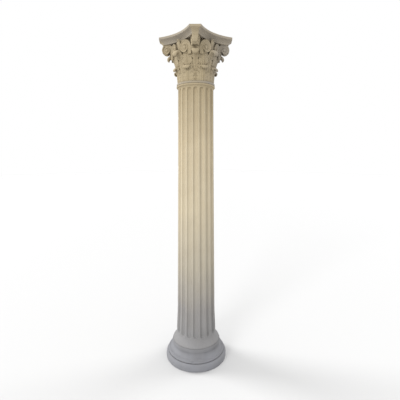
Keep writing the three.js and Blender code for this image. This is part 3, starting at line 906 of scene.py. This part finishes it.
# %% A scroll and its stalk
SCROLL_TURNS, TURN_STEPS = 1.6, 50
VOLUTE = dict(start=0.062, outer=0.052, eye=0.012, thickness=0.036, spread=0.22, stalk=0.066)
HELIX = dict(start=0.062, outer=0.056, eye=0.012, thickness=0.052, spread=0.0, stalk=0.050)
RIDGE_DEPTH, STALK_ROWS, BAND_COLUMNS, SCROLL_CREASE = 0.007, 8, 15, 50
EYE_DOME, EYE_TOP = [(0.9, -0.0005), (0.78, 0.001), (0.5, 0.0026), (0.2, 0.0034)], 0.0036
RIM_STEPS, RIM_HOLLOW = 6, 0.0035


def spiral_radius(scroll, share):
    swelling = (scroll["start"] - scroll["outer"]) * np.clip(1 - share, 0, 1) ** 6
    return mix(scroll["outer"], scroll["eye"], share) + swelling


def spiral_point(scroll, share):
    turn = math.pi - math.tau * SCROLL_TURNS * share
    radius = spiral_radius(scroll, share)
    return np.array([radius * math.cos(turn), radius * math.sin(turn)])


def band_depth(across):
    """The hollow between two turns of the ridge: 0 on a ridge, 1 along the channel."""
    return smoothstep(0.10, 0.42, across) * (1 - smoothstep(0.84, 0.99, across))


def scroll_rows(scroll):
    """Rows of (x, y, depth) from ridge to ridge: up the stalk, round the scroll, to the eye."""
    steps = round(SCROLL_TURNS * TURN_STEPS)
    across = np.linspace(0, 1, BAND_COLUMNS)[:, None]
    rows = []
    for share in np.linspace(0, 1, STALK_ROWS + 1)[:-1]:
        y = -scroll["stalk"] * (1 - share)
        inner = -mix(0.45 * scroll["start"], spiral_radius(scroll, 1 / SCROLL_TURNS), share)
        band = mix(np.array([-scroll["start"], y]), np.array([inner, y]), across)
        rows.append(np.hstack([band, RIDGE_DEPTH * band_depth(across)]))
    for i in range(steps + 1):
        ridge = spiral_point(scroll, i / steps)
        inner = ridge * scroll["eye"] / np.linalg.norm(ridge)
        if i + TURN_STEPS <= steps:
            inner = spiral_point(scroll, (i + TURN_STEPS) / steps)
        width = float(np.linalg.norm(ridge - inner))
        depth = RIDGE_DEPTH * min(1, width / 0.014)
        rows.append(np.hstack([mix(ridge, inner, across), depth * band_depth(across)]))
    return np.array(rows)


def scroll_sheet(rows, scroll):
    """Points (x, y, depth) and faces of one face of a scroll, the eye's dome included."""
    count, columns = rows.shape[:2]
    points = rows.reshape(-1, 3)
    faces = grid_faces(count, columns)
    rim = [(r + 1) * columns - 1 for r in range(count - TURN_STEPS - 1, count - 1)]
    edge = points[rim]
    for share, rise in EYE_DOME:
        first = len(points)
        points = np.vstack([points, np.column_stack([edge[:, :2] * share, edge[:, 2] - rise])])
        for i in range(TURN_STEPS):
            j = (i + 1) % TURN_STEPS
            faces.append([rim[i], rim[j], first + j, first + i])
        rim = [first + i for i in range(TURN_STEPS)]
    points = np.vstack([points, [(0, 0, -EYE_TOP)]])
    faces += [[rim[i], rim[(i + 1) % TURN_STEPS], len(points) - 1] for i in range(TURN_STEPS)]
    return points, faces


def carve_scroll(name, scroll, origin, along, facing, tall=1.0):
    """Both faces and the rim of a scroll; x runs along, y up, and the faces look both ways."""
    rows = scroll_rows(scroll)
    columns = rows.shape[1]
    flat, sheet = scroll_sheet(rows, scroll)
    half = scroll["thickness"] / 2 + (scroll["outer"] - flat[:, 0]) * scroll["spread"]
    front, rear = flat.copy(), flat.copy()
    front[:, 2], rear[:, 2] = half - flat[:, 2], flat[:, 2] - half
    back = len(flat)
    faces = [face[::-1] for face in sheet] + [[i + back for i in face] for face in sheet]
    outline = [r * columns for r in range(STALK_ROWS + TURN_STEPS + 1)]
    outline += [r * columns + columns - 1 for r in range(STALK_ROWS - 1, -1, -1)]
    outline += list(range(columns - 2, 0, -1))
    rim, length, belt = np.array(outline), len(outline), []
    for i in range(1, RIM_STEPS):
        share = i / RIM_STEPS
        level = mix(front[rim], rear[rim], share)
        inward = -level[:, :2] / np.linalg.norm(level[:, :2], axis=1, keepdims=True)
        level[:, :2] += inward * RIM_HOLLOW * (1 - (2 * share - 1) ** 4)
        belt.append(level)
    points = np.concatenate([front, rear] + belt)
    rings = [rim] + [2 * back + i * length + np.arange(length) for i in range(RIM_STEPS - 1)]
    rings.append(rim + back)
    for low, high in zip(rings, rings[1:]):
        quads = np.stack([low, np.roll(low, -1), np.roll(high, -1), high], 1)
        faces += quads.tolist()
    basis = np.array([along, (0, 0, tall), facing], float)
    piece = new_piece(name, points @ basis + origin, faces, crease=SCROLL_CREASE)
    tidy_shell(piece)
    return piece


def tidy_shell(piece):
    """Merges doubled points and turns all faces outwards."""
    shell = bmesh.new()
    shell.from_mesh(piece.data)
    bmesh.ops.remove_doubles(shell, verts=shell.verts, dist=1e-5)
    bmesh.ops.dissolve_degenerate(shell, dist=1e-6, edges=shell.edges)
    bmesh.ops.recalc_face_normals(shell, faces=shell.faces)
    shell.to_mesh(piece.data)
    shell.free()
    piece.data.set_sharp_from_angle(angle=math.radians(SCROLL_CREASE))


# %% Carve the volutes and the inner scrolls
VOLUTE_REACH, VOLUTE_LEVEL = 0.256, 0.307
HELIX_REACH, HELIX_LEVEL, HELIX_ASIDE = 0.212, 0.288, math.radians(26)
HELIX_DROP, HELIX_STRETCH = 0.009, 1.13


def around(angle):
    return np.array([math.cos(angle), math.sin(angle), 0.0])


volutes = carve_scroll("capital_volutes", VOLUTE,
                       around(0) * VOLUTE_REACH + [0, 0, SHAFT_TOP + VOLUTE_LEVEL],
                       around(0), around(-math.pi / 2))
ring_of(volutes, 4, HORN, depth=0.0012)
helices = []
for side, name in [(-1, "capital_right_scrolls"), (1, "capital_left_scrolls")]:
    angle = side * HELIX_ASIDE
    origin = around(angle) * (HELIX_REACH - HELIX["thickness"] / 2)
    origin = origin + [0, 0, SHAFT_TOP + HELIX_LEVEL - HELIX_DROP]
    helix = carve_scroll(name, HELIX, origin, around(angle + side * math.pi / 2), around(angle),
                         HELIX_STRETCH)
    helices.append(ring_of(helix, 4, HORN, depth=0.0012))

# %% [markdown]
# ## The strips
# A plain strip runs down the face of each horn and on over the rim of the volutes under it. A
# curve with a bevel could make it, but a sheet can narrow on its way down. Its line is worked out
# from the hollow of the abacus and the spiral of the volute, so it lies on both.

# %% Run a strip down each horn and on over the rim of its volutes
STRIP_TOP_HALF, STRIP_FOOT_HALF, STRIP_LIFT, STRIP_BED = 0.034, 0.0185, 0.003, 0.008
# Where it starts and ends on the rim, in degrees above the level of the volute's eye.
STRIP_ON_RIM = (48, -30)


def horn_line():
    """(radius, height) up the rim of the volutes and the hollow of the horn's face."""
    line = []
    for share in np.linspace(1, 0, 20):
        height = mix(ABACUS_FOOT, COLUMN_TOP - ABACUS_FILLET - 0.001, share)
        line.append((HORN_REACH - hollow_inset(share), height))
    for turn in np.radians(np.linspace(*STRIP_ON_RIM, 24)):
        out, up = spiral_point(VOLUTE, (math.pi - turn) / (math.tau * SCROLL_TURNS))
        line.append((VOLUTE_REACH + out, SHAFT_TOP + VOLUTE_LEVEL + up))
    return np.array(line)[::-1]


def carve_strip():
    line = horn_line()
    step = np.gradient(line, axis=0)
    slope = step / np.linalg.norm(step, axis=1, keepdims=True)
    outward = np.stack([slope[:, 1], -slope[:, 0]], 1)[:, None]
    across = np.linspace(-1, 1, 13)[None]
    half = mix(STRIP_FOOT_HALF, STRIP_TOP_HALF, np.linspace(0, 1, len(line)) ** 1.25)[:, None]
    sheets = []
    for lift in (STRIP_LIFT * (1 - across**6), np.full_like(across, -STRIP_BED)):
        place = line[:, None] + outward * lift[..., None]
        sheets.append(np.stack([place[..., 0], across * half, place[..., 1]], -1))
    return closed_sheet("capital_horn_strips", *sheets)


strips = ring_of(carve_strip(), 4, HORN, depth=0.0012)

# %% [markdown]
# ## Where shade and grime gather
# Rain washes what is open to the sky and leaves grime in the hollows, which also lie in shade.
# For every point of the column a few rays are sent out over its surface, and the share that soon
# hits stone is stored as a mark. The materials turn it into painted shade and grime. It is worked
# out once from the shapes, so it moves with them, and no lamp or camera has a say in it.

# %% Mark the sheltered places
pieces = [base, shaft, bell, abacus, lower_leaves, upper_leaves, stems, face_leaves, volutes]
pieces += helices + [strips]
REACH_OF_RAYS, START_OF_RAYS, SPREAD_OF_RAYS, LOSS_AT_REACH = 0.09, 0.0015, 0.85, 0.6


def column_surface():
    points, faces, first = [], [], 0
    for piece in pieces:
        points += [v.co.copy() for v in piece.data.vertices]
        faces += [[first + i for i in face.vertices] for face in piece.data.polygons]
        first = len(points)
    return BVHTree.FromPolygons(points, faces)


def ray_directions(count):
    """Directions spread evenly over a half ball about +Z, the low ones left out."""
    height = 1 - (np.arange(count) + 0.5) / count * SPREAD_OF_RAYS
    turn = np.arange(count) * math.pi * (3 - math.sqrt(5))
    flat = np.sqrt(1 - height**2)
    return [Vector(d) for d in zip(flat * np.cos(turn), flat * np.sin(turn), height)]


# The share of blocked rays is painted shade and grime for the hollows.
def mark_shade_and_grime(piece, surface, rays):
    values = []
    for vertex in piece.data.vertices:
        normal = vertex.normal
        turn = Vector((0, 0, 1)).rotation_difference(normal)
        start = vertex.co + normal * START_OF_RAYS
        blocked = 0.0
        for ray in rays:
            hit = surface.ray_cast(start, turn @ ray, REACH_OF_RAYS)
            if hit[3] is not None:
                blocked += 1 - LOSS_AT_REACH * hit[3] / REACH_OF_RAYS
        values.append(blocked / len(rays))
    add_mark(piece.data, "sheltered", values)
    return np.array(values)


def mark_side_shade(piece):
    """Painted shade: the capital is darkened towards +X and -Y, the side away from the key light,
    and at its foot.
    """
    points = points_of(piece)
    aside = points @ np.array([1, -1, 0], np.float32) * math.sqrt(0.5)
    soot = 0.6 * smoothstep(0.10, 0.24, aside) + 0.3 * smoothstep(0.0, 0.12, aside)
    # Painted shade at the foot of the capital, where it sits on the shaft.
    soot += 0.6 * (1 - smoothstep(0.015, 0.025, points[:, 2] - SHAFT_TOP))
    add_mark(piece.data, "soot", soot)


surface = column_surface()
rays = ray_directions(12)
for piece in pieces:
    sheltered = mark_shade_and_grime(piece, surface, rays)
    if piece.name.startswith("capital") and piece is not abacus:
        mark_side_shade(piece)
    print(piece.name, "sheltered: mean", round(float(sheltered.mean()), 2))

# %% [markdown]
# ## Put the pieces on the CAD model
# Each piece takes the place of its solid and rides on the column's one body.

# %% Hand over
for piece in pieces:
    is_capital = piece.name.startswith("capital")
    node = "abacus" if piece is abacus else "capital" if is_capital else piece.name.split("_")[0]
    nodes = [f"volutes_{i}" for i in (1, 2, 3, 4)] if piece is volutes else [node]
    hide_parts(*nodes)
    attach(piece, "root")
triangles = sum(sum(len(f.vertices) - 2 for f in p.data.polygons) for p in pieces)
print("pieces:", len(pieces), "triangles:", triangles)
